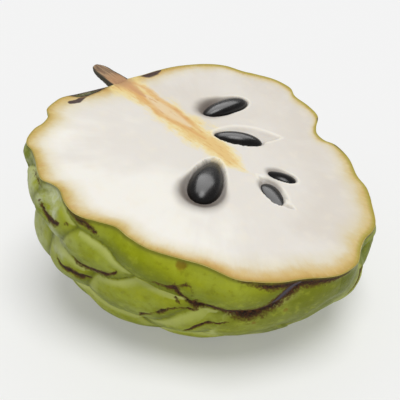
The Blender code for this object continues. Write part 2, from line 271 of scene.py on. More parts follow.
# How orange the tan edge is at each angle round the middle, in degrees.
OCHRE = [
    (-180, 1), (-162, 0.5), (-145, 0.1), (-75, 0.1), (-58, 0.9), (-15, 0.6), (5, 0.1), (140, 0.2),
    (158, 0.9), (180, 1),
]

# The fibres of the tan edge fan out from a middle. Their noise is read this many mm on for each
# radian round it, and at this share of the distance from it.
FAN_MIDDLE = (-8.0, 2.0)
FAN_SPREAD = 45.0
FAN_STRETCH = 0.18

# The sunken flap of skin beside the stalk: its inner edge (u, v) and how far it drops, in mm.
FLAP_EDGE = [(-50.5, -0.5), (-48.6, -2.6), (-47.9, -8), (-47.8, -12), (-48.6, -15), (-51.5, -18)]
FLAP_DROP = 0.5
FLAP_SLOPE = (-0.2, 1.2)

# Dark marks on the rim: u, v and half width in mm.
RIM_MARKS = [
    [(-48.3, 11, 0.5), (-47.7, 13.5, 1.5), (-47.5, 16.5, 1.3), (-47.3, 19.5, 0.4)],
    [(-48.3, -10.5, 0.2), (-47.8, -14, 0.5), (-47, -16.8, 0.7), (-47.6, -19.2, 0.6)],
    [(1.2, 44.6, 0.3), (2.4, 43.4, 0.5), (3.6, 41, 0.2)],
    [(12.5, 36.5, 0.2), (15.5, 36.4, 0.5), (19, 35.2, 0.4), (22.5, 33, 0.1)],
]

# Greyer parts of the flesh: how much it greys with each mm along u and v, and round patches with
# their middle (u, v), reach in mm and strength. The core of a patch is the share that is even.
TONE_SLOPE = (0.25 / 60.0, 0.75 / 60.0)
DUSK_CORE = 0.2
DUSKS = [(-30, 0, 36, 0.3), (-28, -32, 26, 0.25), (36, 8, 22, 0.3)]

# The core band on the cut face, in mm.
CORE_LINE = [(-52, 1.8), (-36, 2.9), (-23, 2.9), (-10, 2), (3, 0.8)]
CORE_HALF_WIDTH = [
    (-52, 9), (-48.5, 7.4), (-46, 5.4), (-42, 4.6), (-33, 4.8), (-20, 5.4), (-8, 4.8), (2, 3.2),
    (9, 2.4),
]
CORE_FADE = (-2.0, 12.0)
CORE_FADE_DEPTH = 1.6

# The half stalk, in mm: its place across the core, the stations along its length with its half
# width at each, and where and how far it sinks under the flesh.
STALK_ACROSS = 2.4
STALK_STATIONS = [
    (-46, 3.2), (-48, 3.5), (-50, 3.5), (-53, 3.1), (-57, 2.7), (-58.8, 2.3), (-59.7, 1.7),
    (-60.2, 1),
]
STALK_SINK = (-48.8, -46.4, 1.6)
STALK_BASE = (-58.0, -49.0)
STALK_BARK_EDGE = 0.74
STALK_CROWN = 0.35
STALK_STEPS = 90
BARK_SIDES = 40
WOOD_SIDES = 15

# Two orange veins along the core, and the paler pith between them: u, v and half width in mm.
VEINS = [
    [(-45, 3.5, 0.6), (-40.8, 2.4, 1), (-34.8, 0.7, 1.5), (-29, -0.1, 1), (-25.5, 0.2, 0.9),
     (-20, 1.8, 0.8), (-12, 2.6, 0.4)],
    [(-46, 6, 0.6), (-40.3, 7, 1.1), (-35, 6.5, 1), (-28.5, 6.2, 0.9), (-23, 5.8, 0.9),
     (-15, 4.2, 0.6)],
]
PITH = [(-38, 3.9, 0.8), (-30.8, 3.4, 2.2), (-26, 3.3, 2.2), (-19, 3.4, 0.8)]

# Where the bared wood runs from the stalk into the flesh: u, v and half width in mm.
WOOD_ROUTE = [(-52, 2.8, 3.6), (-48.5, 3.2, 3.4), (-44, 3.4, 1.8), (-38, 3.2, 0.4)]

# The camera and the studio.
CAMERA_PLACE = (-1.3 * MM, -206.5 * MM, 148.2 * MM)
CAMERA_PITCH = radians(60.0)
CAMERA_LENS = 70.0
CAMERA_NEAREST = 0.01
FLOOR_SIZE = 6.0
FLOOR_LEVEL = -0.0001
FLOOR_SHADE = (0.63, 0.63, 0.63)
FLOOR_GLOW = 0.26
WHITE = (1.0, 1.0, 1.0)
SKY_STRENGTH = 0.35
SOFTBOX_STRENGTH = 2.2
SOFTBOX_SPREAD = radians(33.0)
SOFTBOX_DIRECTION = (0.12, -0.28, 0.95)
GLEAM_DIRECTION = (0.12, 0.36, 0.92)
GLEAM_DISTANCE = 0.9
GLEAM_SIZE = (1.0, 1.0)
GLEAM_POWER = 17.0
SHADED_SEED = "seed_small"

# How sharp an edge has to be to show as a crease, a height below every real one, and a number
# that keeps a division from failing.
RIM_CREASE = radians(60.0)
STALK_CREASE = radians(50.0)
BELOW_ALL = -99.0
TINY = 1e-9


# ---- numbers ----

def smooth_step(value, low, high):
    """0 below low, 1 above high, and smooth between."""
    step = np.clip((value - low) / (high - low), 0.0, 1.0)
    return step * step * (3.0 - 2.0 * step)


def unit(rows):
    """Rows scaled to length 1."""
    return rows / np.linalg.norm(rows, axis=-1, keepdims=True)


def lattice(cells, seed):
    """A repeatable random number from -1 to 1 for each whole-number cell."""
    keys = (cells[:, 0] * 374761393 + cells[:, 1] * 668265263 + cells[:, 2] * 2147483647
            + seed * 1274126177) & 0xFFFFFFFF
    keys = ((keys ^ (keys >> 13)) * 1274126177) & 0xFFFFFFFF
    keys = (keys ^ (keys >> 16)) & 0xFFFF
    return keys / 32767.5 - 1.0


def noise(points, size, seed):
    """Smooth noise from -1 to 1 whose bumps are about size mm across."""
    spot = points / size
    cell = np.floor(spot).astype(np.int64)
    part = spot - cell
    part = part * part * (3.0 - 2.0 * part)
    total = np.zeros(len(points))
    for corner in range(8):
        step = np.array((corner & 1, corner >> 1 & 1, corner >> 2 & 1))
        weight = np.prod(np.where(step, part, 1.0 - part), axis=1)
        total += weight * lattice(cell + step, seed)
    return total


def bumps(points, layers):
    """The height in mm of some layers of noise."""
    return sum(height * noise(points, size, seed) for size, height, seed in layers)


def drifted(points, layers):
    """Points shifted at random along all three axes by some layers of noise."""
    shifts = [bumps(points, [(size, reach, seed + axis) for size, reach, seed in layers])
              for axis in range(3)]
    return points + np.stack(shifts, axis=1)


def closed_curve(points, steps):
    """A closed Catmull-Rom curve through the points."""
    now = np.array(points)
    before, after, later = (np.roll(now, shift, axis=0) for shift in (1, -1, -2))
    rows = []
    for t in np.linspace(0.0, 1.0, steps, endpoint=False):
        rows.append(0.5 * (2.0 * now + (after - before) * t
                           + (2.0 * before - 5.0 * now + 4.0 * after - later) * t * t
                           + (3.0 * now - before - 3.0 * after + later) * t ** 3))
    return np.stack(rows, axis=1).reshape(-1, 2)


def face_frame():
    """The matrix from the cut face's frame in metres to the world."""
    out = Vector((sin(FACE_LEAN) * cos(LEAN_HEADING),
                  sin(FACE_LEAN) * sin(LEAN_HEADING), cos(FACE_LEAN)))
    along = Vector((cos(CORE_HEADING), sin(CORE_HEADING), 0.0))
    along.z = -along.dot(out) / out.z
    along.normalize()
    across = out.cross(along)
    turn = Matrix((along, across, out)).transposed().to_4x4()
    return Matrix.Translation(FACE_MIDDLE) @ turn


FRAME = np.array(face_frame())


def to_world(points):
    """Points in the face's frame in mm, as world points in metres."""
    return points * MM @ FRAME[:3, :3].T + FRAME[:3, 3]


# ---- the smooth back ----

class CutEdge:
    """The radius of the cut face round its middle, with its bumps and without them."""

    def __init__(self):
        curve = closed_curve(CUT_EDGE, EDGE_STEPS)
        angle = np.arctan2(curve[:, 1], curve[:, 0])
        order = np.argsort(angle)
        self.angle = angle[order]
        self.reach = np.hypot(curve[:, 0], curve[:, 1])[order]
        even = np.linspace(-pi, pi, 720, endpoint=False)
        wave = np.fft.rfft(self.radius(even))
        wave[EDGE_HARMONICS + 1:] = 0.0
        self.even = even
        self.even_reach = np.fft.irfft(wave, len(even))

    def radius(self, angle):
        """The real edge."""
        return np.interp(angle, self.angle, self.reach, period=2.0 * pi)

    def calm_radius(self, angle):
        """The edge without its bumps."""
        return np.interp(angle, self.even, self.even_reach, period=2.0 * pi)


EDGE = CutEdge()


def back_point(angle, depth):
    """A point of the smooth back, in mm: depth is 0 at the cut edge and 1 at the deepest point."""
    quarter = depth * pi / 2.0
    inward = np.cos(quarter) ** (2.0 / BACK_FULLNESS)
    down = np.sin(quarter) ** (2.0 / BACK_FULLNESS)
    calm = EDGE.calm_radius(angle)
    edge = calm + (EDGE.radius(angle) - calm) * np.exp(-(depth / EDGE_BUMP_REACH) ** 2)
    belly = np.sin(pi * depth)
    flat, ahead, aside, ahead_twice, aside_twice = SIDE_BULGE
    bulge = (flat + ahead * np.cos(angle) + aside * np.sin(angle)
             + ahead_twice * np.cos(2.0 * angle) + aside_twice * np.sin(2.0 * angle))
    radius = edge * inward + bulge * belly
    floor_bulge = FLOOR_BULGE[0] * np.cos(angle) + FLOOR_BULGE[1] * np.sin(angle)
    return np.stack([radius * np.cos(angle) + DEEPEST_SHIFT * down,
                     radius * np.sin(angle),
                     -BACK_DEPTH * down - floor_bulge * belly], axis=-1)


class BackMap:
    """Finds points of the smooth back by latitude and longitude."""

    def __init__(self):
        angle, depth = np.meshgrid(np.linspace(-pi, pi, 721), np.linspace(0.0, 0.99, 160))
        self.points = back_point(angle, depth).reshape(-1, 3)
        u, v, w = self.points.T
        self.latitude = np.degrees(np.arctan2(u, np.hypot(v, w)))
        self.longitude = np.degrees(np.arctan2(-w, -v))

    def at(self, latitude, longitude):
        """The point at a latitude and a longitude."""
        stretch = np.cos(np.radians(latitude))
        miss = np.hypot(self.latitude - latitude, (self.longitude - longitude) * stretch)
        return self.points[miss.argmin()]


BACK = BackMap()


# ---- the scales ----

class Scales:
    """The scales of the skin, each with its middle, its own axes, its size and its free edge."""

    def __init__(self):
        self.rows = [(BACK.at(*row[:2]), *row[2:]) for row in NEAR_SCALES]
        self.add_hidden()
        self.middles = np.array([row[0] for row in self.rows])
        length, width, turn, heading, self.rise = np.array([row[1:] for row in self.rows]).T
        self.half = np.stack([length, width], axis=1) / 2.0
        self.out = out = unit(self.middles - SCALE_CENTRE)
        tipward = unit(np.array((1.0, 0.0, 0.0)) - out[:, :1] * out)
        under = np.cross(tipward, out)
        under *= np.where(under[:, 2:] > 0.0, -1.0, 1.0)
        self.long = self.blend(tipward, under, turn)
        self.side = self.blend(tipward, under, turn + 90.0)
        self.free = self.blend(tipward, under, heading)

    @staticmethod
    def blend(tipward, under, degrees):
        """The direction turned by an angle from the tip towards the underside."""
        turn = np.radians(degrees)[:, None]
        return tipward * np.cos(turn) + under * np.sin(turn)

    def add_hidden(self):
        """Fill the rest of the back with even rows, each half a scale on from the last."""
        for number, latitude in enumerate(np.arange(-80.0, 81.0, HIDDEN_ROW_STEP)):
            ring = max(1, round(HIDDEN_ROUND * cos(radians(latitude)) + 0.3))
            for place in range(ring + 1):
                longitude = 180.0 * (place + 0.5 * (number % 2)) / ring
                if longitude > 180.0:
                    continue
                middle = BACK.at(latitude, longitude)
                gaps = [np.linalg.norm(middle - row[0]) for row in self.rows]
                if min(gaps) > HIDDEN_GAP:
                    self.rows.append((middle, *HIDDEN_SCALE))

    def measure(self, points):
        """The highest two scales of each point: their heights, and how near their free edges."""
        heights = np.full((2, len(points)), BELOW_ALL)
        frees = np.zeros((2, len(points)))
        for place, middle in enumerate(self.middles):
            away = points - middle
            along = np.abs(away @ self.long[place]) / self.half[place, 0]
            beside = np.abs(away @ self.side[place]) / self.half[place, 1]
            under = (away @ self.out[place] / SCALE_REACH) ** 2
            edge = (along ** SCALE_CORNERS + beside ** SCALE_CORNERS) ** (1.0 / SCALE_CORNERS)
            free = away @ self.free[place] / self.half[place, 1]
            free = np.clip(free, -FREE_LIMIT, FREE_LIMIT)
            height = SCALE_HEIGHT * (1.0 - (edge + under) ** SCALE_ROUNDNESS)
            height += self.rise[place] * free
            first = height > heights[0]
            second = ~first & (height > heights[1])
            for store, value in ((heights, height), (frees, free)):
                store[1] = np.where(first, store[0], np.where(second, value, store[1]))
                store[0] = np.where(first, value, store[0])
        return heights, frees


def skin_relief(points, scales):
    """The height of the scales over the smooth back, in mm, with what the material needs."""
    heights, frees = scales.measure(drifted(points, SCALE_DRIFT))
    gap = (heights[0] - heights[1]) / SEAM_SLOPE
    side = np.clip((frees[0] - frees[1]) / FREE_JUMP, -1.0, 1.0)
    merged = patch_field(points, MERGED)
    softness = SEAM_SOFTNESS + MERGE_SOFTNESS * merged
    relief = heights[0] + softness * np.log1p(np.exp(-gap * SEAM_SLOPE / softness))
    gap += MERGE_GAP * merged
    relief += LIP * side * np.exp(-gap / LIP_REACH)
    relief -= GROOVE_DEPTH * np.abs(side) * np.exp(-(gap / GROOVE_WIDTH) ** 2)
    relief += bumps(points, SKIN_BUMPS)
    return relief, {"gap": gap, "side": side, "free": frees[0]}


def bulge_field(points):
    """Broad swellings and dents of the back, in mm."""
    lift = np.zeros(len(points))
    for *spot, reach, height in BULGES:
        away = np.linalg.norm(points - BACK.at(*spot), axis=1)
        lift += height * (1.0 - smooth_step(away, 0.0, reach))
    return lift


def share_and_distance(points, start, end):
    """How far along a straight run the nearest spot to each point is, and the distance in mm."""
    run = end - start
    share = np.clip((points - start) @ run / max(run @ run, TINY), 0.0, 1.0)
    return share, np.linalg.norm(points - start - share[:, None] * run, axis=1)


def distance_to_route(points, route):
    """The distance in mm from each point to a line through the route's points."""
    runs = zip(route[:-1], route[1:])
    return np.min([share_and_distance(points, *run)[1] for run in runs], axis=0)


def route_depth(points, route):
    """How deep inside a band each point lies: 1 on its line, 0.5 at its edge."""
    rows = np.array(route)
    line, half = rows[:, :-1], rows[:, -1]
    field = np.zeros(len(points))
    for start, end, first, last in zip(line[:-1], line[1:], half[:-1], half[1:]):
        share, away = share_and_distance(points, start, end)
        width = first + (last - first) * share
        field = np.maximum(field, np.clip(1.0 - away / (2.0 * width), 0.0, 1.0))
    return field


def routes_depth(points, routes):
    """How deep inside the nearest of some bands each point lies."""
    return np.max([route_depth(points, route) for route in routes], axis=0)


def placed_route(route):
    """A route of latitudes, longitudes and half widths as points of the smooth back, in mm."""
    return [(*BACK.at(*spot), half) for *spot, half in route]


def crack_field(points):
    """How deep inside a crack or a russet band each point lies: 1 on its line, 0.5 at its edge."""
    shifted = drifted(points, CRACK_DRIFT)
    field = np.zeros(len(points))
    for strength, route in CRACKS:
        field = np.maximum(field, strength * route_depth(shifted, placed_route(route)))
    return field


def patch_field(points, patches):
    """The strongest of some soft round patches at each point, from 0 to 1."""
    field = np.zeros(len(points))
    for *spot, reach, strength in patches:
        away = np.linalg.norm(points - BACK.at(*spot), axis=1)
        inner, outer = (share * reach for share in PATCH_FADE)
        field = np.maximum(field, strength * (1.0 - smooth_step(away, inner, outer)))
    return field


def scattered_field(points, patches, size, seed):
    """Soft patches, and random ones on the side of the back that they leave bare, from 0 to 1."""
    random = RANDOM_STRENGTH * smooth_step(noise(points, size, seed), *RANDOM_FADE)
    random *= smooth_step(points[:, 1], *RANDOM_START)
    return np.maximum(random, patch_field(points, patches))


# ---- the disks of the skin and of the cut face ----

def disk_grid():
    """The angle and the share of the radius of each vertex of a six-sided disk."""
    angle, share = [0.0], [0.0]
    for ring in range(1, RINGS + 1):
        count = 6 * ring
        angle.extend(2.0 * pi * np.arange(count) / count)
        share.extend([ring / RINGS] * count)
    return np.array(angle), np.array(share)


def ring_start(ring):
    """The number of vertices inside a ring."""
    return 0 if ring == 0 else 1 + 3 * ring * (ring - 1)


def disk_faces():
    """Triangles that join the rings of a six-sided disk."""
    faces = []
    for ring in range(1, RINGS + 1):
        inner, outer = ring_start(ring - 1), ring_start(ring)
        side, step = np.divmod(np.arange(6 * ring), ring)
        inner_count = max(1, 6 * (ring - 1))
        here = outer + side * ring + step
        after = outer + (side * ring + step + 1) % (6 * ring)
        below = inner + (side * (ring - 1) + step) % inner_count
        faces.append(np.stack([here, after, below], axis=1))
        if ring > 1:
            inside = step < ring - 1
            beyond = inner + (side * (ring - 1) + step + 1) % inner_count
            faces.append(np.stack([after, beyond, below], axis=1)[inside])
    return np.concatenate(faces)


def skin_shape(angle, share, scales):
    """The skin's points in the face's frame, and what its material needs."""
    depth = 1.0 - share
    smooth = back_point(angle, depth)
    world = to_world(smooth) / MM
    off_rest = np.hypot(world[:, 0] - REST_MIDDLE[0], world[:, 1] - REST_MIDDLE[1])
    under = world[:, 2] < FACE_MIDDLE[2] / MM / 2.0
    calm = np.where(under, smooth_step(off_rest, *REST_RELIEF), 1.0)
    relief, marks = skin_relief(smooth, scales)
    crack = crack_field(smooth)
    fade = smooth_step(depth, 0.0, RELIEF_EDGE_FADE) * calm
    lift = (relief - SCALE_SINK - CRACK_DEPTH * smooth_step(crack, *CRACK_WALL)) * fade
    lift += bulge_field(smooth) * smooth_step(depth, 0.0, BULGE_EDGE_FADE) * calm
    marks["crack"] = crack
    marks["fold"] = route_depth(smooth, placed_route(FOLD_HIGHLIGHT))
    marks["stain"] = scattered_field(smooth, STAINS, *RANDOM_STAINS)
    marks["bloom"] = scattered_field(smooth, BLOOMS_AND_GLINTS, *RANDOM_BLOOMS_AND_GLINTS)
    marks["spot"] = patch_field(smooth, SPOTS)
    marks["shaded"] = patch_field(smooth, LOW_PAINTED_SHADES)
    marks["rim"] = depth * pi / 2.0 * EDGE.radius(angle)
    return smooth + unit(smooth - SCALE_CENTRE) * lift[:, None], marks


# ---- the cut face ----

def turned(u, v, middle, degrees):
    """Distances along and across an axis turned by some degrees, from a middle point."""
    turn = radians(degrees)
    du, dv = u - middle[0], v - middle[1]
    return du * cos(turn) + dv * sin(turn), dv * cos(turn) - du * sin(turn)


def seed_girth(x, taper):
    """The half width of a seed at x from -1 to 1, as a share of its greatest."""
    return (np.maximum(1.0 - x * x, 0.0) ** (SEED_BLUNTNESS / 2.0)
            * (1.0 - taper * (x + 0.5 * x * x)))


def seed_top(u, v, seed):
    """The height of a seed's upper side over the face, or a deep number off the seed."""
    _, middle, turn, roll, taper, length, width, thickness = seed
    along, across = turned(u, v, middle, turn)
    girth = seed_girth(np.clip(along * 2.0 / length, -1.0, 1.0), taper)
    wide, thick = (girth * width / 2.0) ** 2, (girth * thickness / 2.0) ** 2
    sine, cosine = sin(radians(roll)), cos(radians(roll))
    spread = wide * cosine ** 2 + thick * sine ** 2 + TINY
    tilt = (wide - thick) * sine * cosine
    inside = 1.0 - across ** 2 / spread
    height = tilt / spread * across + np.sqrt(np.maximum(wide * thick / spread * inside, 0.0))
    return np.where(inside > 0.0, middle[2] + height, BELOW_ALL)


def seed_outline(seed, level):
    """The outline of what a seed shows above a level of the face, as points (u, v)."""
    _, middle, _, _, _, length, _, _ = seed
    run = np.linspace(-0.55, 0.55, 67) * length
    grid = np.stack(np.meshgrid(run, run), axis=-1).reshape(-1, 2) + np.array(middle[:2])
    shown = grid[seed_top(grid[:, 0], grid[:, 1], seed) > level]
    centre = shown.mean(axis=0)
    away = np.linspace(0.0, 0.6 * length, 400)
    outline = []
    for angle in 2.0 * pi * np.arange(OUTLINE_STEPS) / OUTLINE_STEPS:
        ray = centre + away[:, None] * np.array((cos(angle), sin(angle)))
        above = seed_top(ray[:, 0], ray[:, 1], seed) > level
        outline.append(ray[np.flatnonzero(above)[-1]])
    return centre, np.array(outline)


def outline_distance(u, v, outline):
    """The distance in mm from each point to a closed outline, less than 0 inside it."""
    spots = np.stack([u, v], axis=1)
    away = distance_to_route(spots, np.concatenate([outline, outline[:1]]))
    inside = np.zeros(len(spots), bool)
    for (u0, v0), (u1, v1) in zip(outline, np.roll(outline, -1, axis=0)):
        if v0 != v1:
            crosses = (v0 > v) != (v1 > v)
            inside ^= crosses & (u < (u1 - u0) * (v - v0) / (v1 - v0) + u0)
    return np.where(inside, -away, away)


def outline_side(spots, route):
    """How far each point lies outside a line that runs from +v to -v, less than 0 inside it."""
    away = distance_to_route(spots, route)
    edge = np.interp(-spots[:, 1], -route[:, 1], route[:, 0])
    reach = np.where(spots[:, 0] < edge, away, -away)
    outside = (spots[:, 1] > route[0, 1]) | (spots[:, 1] < route[-1, 1])
    return np.where(outside, -away, reach)


def hollow_round_seed(u, v, seed, hollow):
    """The depth, lip and painted shade of the flesh round one seed."""
    open_depth, close_depth, open_width, close_width, heading, dark = hollow
    *_, length, _, _ = seed
    centre, outline = seed_outline(seed, -close_depth)
    near = np.flatnonzero(np.hypot(u - centre[0], v - centre[1]) < length)
    away = outline_distance(u[near], v[near], outline)
    angle = np.arctan2(v[near] - centre[1], u[near] - centre[0]) - radians(heading)
    openness = (0.5 + 0.5 * np.cos(angle)) ** OPEN_SIDE_FOCUS
    wobble = bumps(np.stack([u[near], v[near], v[near]], axis=1), HOLLOW_BUMPS)
    width = close_width + (open_width - close_width) * openness + wobble
    depth = close_depth + (open_depth - close_depth) * openness
    wall = smooth_step(away, WALL_START, width)
    drop, lip, shade = np.zeros((3, len(u)))
    drop[near] = depth * (1.0 - wall) + SEED_DIVE * smooth_step(-away, 0.0, SEED_DIVE_REACH)
    lip[near] = np.exp(-((away - width) / LIP_WIDTH) ** 2) * (1.0 - OPEN_LIP_LOSS * openness)
    inner, outer = (share * width for share in HOLLOW_SHADE_FADE)
    broad = dark * openness ** 0.25 * (1.0 - smooth_step(away, inner, outer))
    contact = CONTACT_SHADE * dark * (1.0 - smooth_step(away, 0.0, CONTACT_REACH))
    shade[near] = np.maximum(broad, contact)
    return drop, lip, shade


def face_relief(u, v):
    """The height of the cut face, in mm, with what its material needs."""
    spots = np.stack([u, v, np.zeros_like(u)], axis=1)
    height = bumps(spots, FACE_BUMPS)
    drop, lip, shade = np.zeros((3, len(u)))
    for middle, turn, half_length, half_width, depth, dark in CLEFTS:
        along, across = turned(u, v, middle, turn)
        edge = np.abs(across) / half_width + (along / half_length) ** 2
        drop = np.maximum(drop, depth * (1.0 - smooth_step(edge, *CLEFT_WALL)))
        away = (edge - CLEFT_LIP_PLACE) * half_width
        lip = np.maximum(lip, CLEFT_LIP * np.exp(-(away / LIP_WIDTH) ** 2))
        shade = np.maximum(shade, dark * (1.0 - smooth_step(edge, *CLEFT_SHADE)))
    for seed, hollow in zip(SEEDS, HOLLOWS):
        seed_drop, seed_lip, seed_shade = hollow_round_seed(u, v, seed, hollow)
        drop = np.maximum(drop, seed_drop)
        lip = np.maximum(lip * (seed_drop < LIP_FREE_DROP), seed_lip)
        shade = np.maximum(shade, seed_shade)
    return height - drop + LIP_HEIGHT * lip, {"shade": shade, "lip": lip}


def core_field(u, v):
    """How far inside the core band each point lies: 1 on its middle line, 0 on its edge."""
    line = np.interp(u, *np.array(CORE_LINE).T)
    half = np.interp(u, *np.array(CORE_HALF_WIDTH).T)
    return 1.0 - np.abs(v - line) / half - CORE_FADE_DEPTH * smooth_step(u, *CORE_FADE)


def tone_field(u, v):
    """How grey the flesh is at each point, from 0 to 1."""
    tone = 0.5 + TONE_SLOPE[0] * u + TONE_SLOPE[1] * v
    for dusk_u, dusk_v, reach, strength in DUSKS:
        away = np.hypot(u - dusk_u, v - dusk_v)
        tone += strength * (1.0 - smooth_step(away, DUSK_CORE * reach, reach))
    return np.clip(tone, 0.0, 1.0)


def fan_place(u, v):
    """Where each point lies in the fan of fibres: round its middle and away from it."""
    du, dv = u - FAN_MIDDLE[0], v - FAN_MIDDLE[1]
    turn, reach = np.arctan2(dv, du), np.hypot(du, dv)
    return np.stack([turn * FAN_SPREAD, reach * FAN_STRETCH, np.zeros_like(u)], axis=1)


def face_shape(angle, share):
    """The cut face's points in its own frame, and what its material needs."""
    reach = EDGE.radius(angle)
    u, v = share * reach * np.cos(angle), share * reach * np.sin(angle)
    rim = (1.0 - share) * reach
    turn = np.degrees(np.arctan2(v, u))
    spots = np.stack([u, v], axis=1)
    beyond = outline_side(spots, np.array(FLAP_EDGE))
    height, marks = face_relief(u, v)
    height *= smooth_step(rim, 0.0, 1.0)
    height -= FLAP_DROP * smooth_step(beyond, *FLAP_SLOPE)
    marks["rim"] = rim
    marks["flap"] = beyond
    marks["core"] = np.clip(core_field(u, v), -2.0, 1.0)
    marks["wood"] = route_depth(spots, WOOD_ROUTE)
    marks["pith"] = route_depth(spots, PITH)
    marks["vein"] = routes_depth(spots, VEINS)
    marks["bruise"] = routes_depth(spots, RIM_MARKS)
    marks["ochre"] = np.interp(turn, *np.array(OCHRE).T)
    marks["tan"] = rim / np.interp(turn, *np.array(TAN_EDGE).T)
    marks["tone"] = tone_field(u, v)
    marks["fan"] = fan_place(u, v)
    return np.stack([u, v, height], axis=1), marks


# ---- meshes ----

def add_mesh(name, points, faces, materials, slots=None, marks=None):
    """A smooth-shaded object from world points, with vertex marks for its materials."""
    mesh = bpy.data.meshes.new(name)
    mesh.from_pydata(points.tolist(), [], faces.tolist() if hasattr(faces, "tolist") else faces)
    for material in materials:
        mesh.materials.append(material)
    if slots is not None:
        mesh.polygons.foreach_set("material_index", slots)
    for mark, values in (marks or {}).items():
        kind = "FLOAT" if values.ndim == 1 else "FLOAT_VECTOR"
        field = mesh.attributes.new(mark, kind, "POINT")
        field.data.foreach_set("value" if values.ndim == 1 else "vector", values.ravel())
    mesh.shade_smooth()
    mesh.update()
    piece = bpy.data.objects.new(name, mesh)
    bpy.context.scene.collection.objects.link(piece)
    return piece


def add_fruit(materials):
    """The skin and the cut face as one closed mesh."""
    angle, share = disk_grid()
    rim = ring_start(RINGS)
    skin, skin_marks = skin_shape(angle, share, Scales())
    face, face_marks = face_shape(angle, share)
    points = np.concatenate([skin, face[:rim]])
    world = to_world(points)
    world[:, 2] = np.maximum(world[:, 2], 0.0)
    faces = disk_faces()
    shared = np.concatenate([np.arange(rim) + len(skin), np.arange(rim, len(skin))])
    top = shared[faces][:, ::-1]
    marks = {"place": points}
    for name in sorted(set(skin_marks) | set(face_marks)):
        blank = np.zeros_like(skin_marks.get(name, face_marks.get(name)))
        below, above = (each.get(name, blank) for each in (skin_marks, face_marks))
        marks[name] = np.concatenate([below, above[:rim]])
    slots = np.concatenate([np.zeros(len(faces), int), np.ones(len(top), int)])
    piece = add_mesh("fruit", world, np.concatenate([faces, top]), materials, slots, marks)
    piece.data.set_sharp_from_angle(angle=RIM_CREASE)
    return piece


def tube_faces(sides, rings):
    """Faces of a closed tube whose first and last points are its poles."""
    faces = []
    last = 1 + sides * (rings - 1)
    for side in range(sides):
        after = (side + 1) % sides
        faces.append((0, 1 + after, 1 + side))
        faces.append((last, last - sides + side, last - sides + after))
        for ring in range(rings - 2):
            row = 1 + ring * sides
            faces.append((row + side, row + after, row + sides + after, row + sides + side))
    return faces


def stack_faces(sides, rings):
    """Faces of a stack of equal rings with flat ends."""
    faces = []
    for start in range(0, sides * (rings - 1), sides):
        for side in range(sides):
            a, b = start + side, start + (side + 1) % sides
            faces.append((a, b, b + sides, a + sides))
    faces.append(tuple(range(sides - 1, -1, -1)))
    faces.append(tuple(range(sides * (rings - 1), sides * rings)))
    return faces


def add_seed(seed, material):
    """One seed: a flattened drop with a faint unevenness."""
    name, place, turn, roll, taper, length, width, thickness = seed
    around = pi * np.arange(1, SEED_RINGS) / SEED_RINGS
    x = np.repeat(-np.cos(around), SEED_SIDES)
    spin = np.tile(2.0 * pi * np.arange(SEED_SIDES) / SEED_SIDES, SEED_RINGS - 1)
    girth = seed_girth(x, taper)
    body = np.stack([x * length, girth * width * np.cos(spin), girth * thickness * np.sin(spin)],
                    axis=1) / 2.0
    ends = np.array((length / 2.0, 0.0, 0.0))
    points = np.concatenate([[-ends], body, [ends]])
    points += unit(points) * bumps(points, SEED_BUMPS)[:, None]
    pose = np.array(Matrix.Translation(Vector(place)) @ Matrix.Rotation(radians(turn), 4, "Z")
                    @ Matrix.Rotation(radians(roll), 4, "X"))
    world = to_world(points @ pose[:3, :3].T + pose[:3, 3])
    return add_mesh(name + "_gloss", world, tube_faces(SEED_SIDES, SEED_RINGS), [material],
                    marks={"place": points})


def add_stalk(material):
    """The half stalk: bark below, and on top the bared wood, which runs in under the flesh."""
    stations = np.array(STALK_STATIONS)
    along = np.linspace(stations[0, 0], stations[-1, 0], STALK_STEPS)
    half = np.interp(along, *stations[::-1].T)
    turn = pi * (1.0 + np.arange(BARK_SIDES + 1) / BARK_SIDES)
    inner = np.linspace(1.0, -1.0, WOOD_SIDES + 2)[1:-1]
    ring = len(turn) + len(inner)
    points = np.zeros((STALK_STEPS, ring, 3))
    points[:, :, 0] = along[:, None]
    points[:, :, 1] = half[:, None] * np.concatenate([np.cos(turn), inner])
    points[:, :len(turn), 2] = half[:, None] * np.sin(turn)
    points[:, len(turn):, 2] = STALK_CROWN * (1.0 - inner ** 2)
    points = points.reshape(-1, 3)
    edge = smooth_step(np.abs(inner), STALK_BARK_EDGE, 1.0)
    bark = np.tile(np.concatenate([np.ones(len(turn)), edge]), STALK_STEPS)
    outward = points * (0.0, 1.0, 1.0) - (0.0, 0.0, 1e-3)
    ridges = bumps(points * (0.25, 1.0, 1.0), BARK_RIDGES) + bumps(points, BARK_BUMPS)
    points = points + unit(outward) * (ridges * bark)[:, None]
    points[:, 2] += (1.0 - bark) * bumps(points * (0.2, 1.0, 1.0), WOOD_BUMPS)
    start, end, sink = STALK_SINK
    points[:, 2] -= sink * smooth_step(points[:, 0], start, end)
    points[:, 1] += STALK_ACROSS
    base = smooth_step(points[:, 0], *STALK_BASE)
    piece = add_mesh("stalk_wood", to_world(points), stack_faces(ring, STALK_STEPS), [material],
                     marks={"place": points, "bark": bark, "base": base})
    piece.data.set_sharp_from_angle(angle=STALK_CREASE)
    return piece


# ---- materials ----

